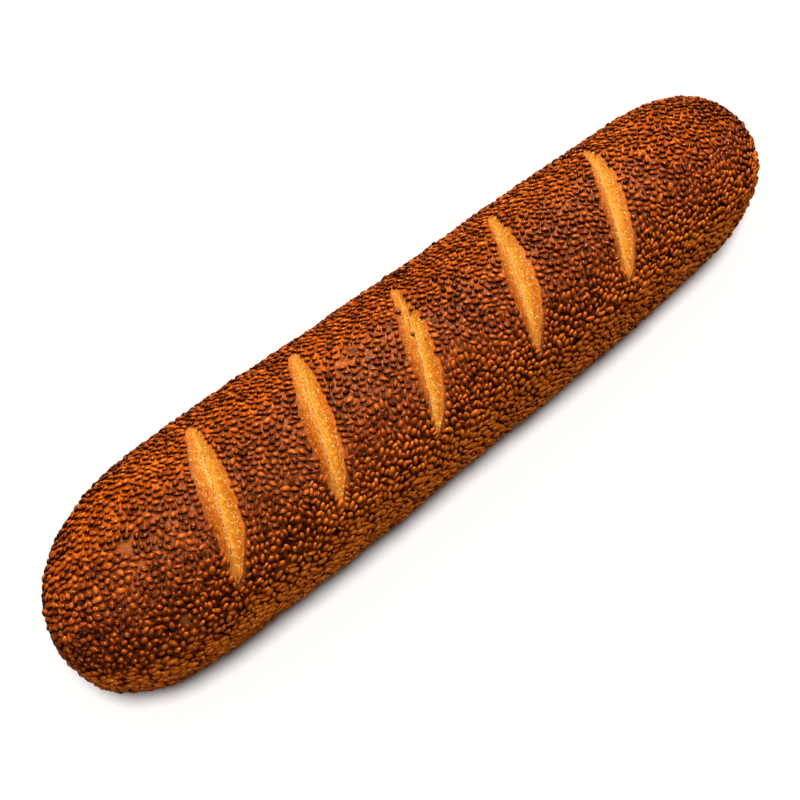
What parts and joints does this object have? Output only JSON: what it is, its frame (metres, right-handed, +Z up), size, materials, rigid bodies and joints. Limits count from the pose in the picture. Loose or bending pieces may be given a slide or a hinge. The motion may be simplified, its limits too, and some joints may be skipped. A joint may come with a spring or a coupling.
{
  "type": "seeded bread loaf",
  "caption": "Long, straight bread loaf with rounded ends, a dark toasted seed crust and slanting slashes across its crown; rests on a flat base.",
  "frame": {"origin": "middle of the loaf's base, on the surface it rests on", "axes": "+X along the loaf from the thick end to the thin end, +Y across it, +Z up"},
  "size_m": [0.335, 0.0806, 0.0653],
  "materials": {
    "crust": null,
    "crumb": null,
    "seeds": null
  },
  "bodies": {
    "root": {"loaf": "crust"}
  },
  "joints": []
}
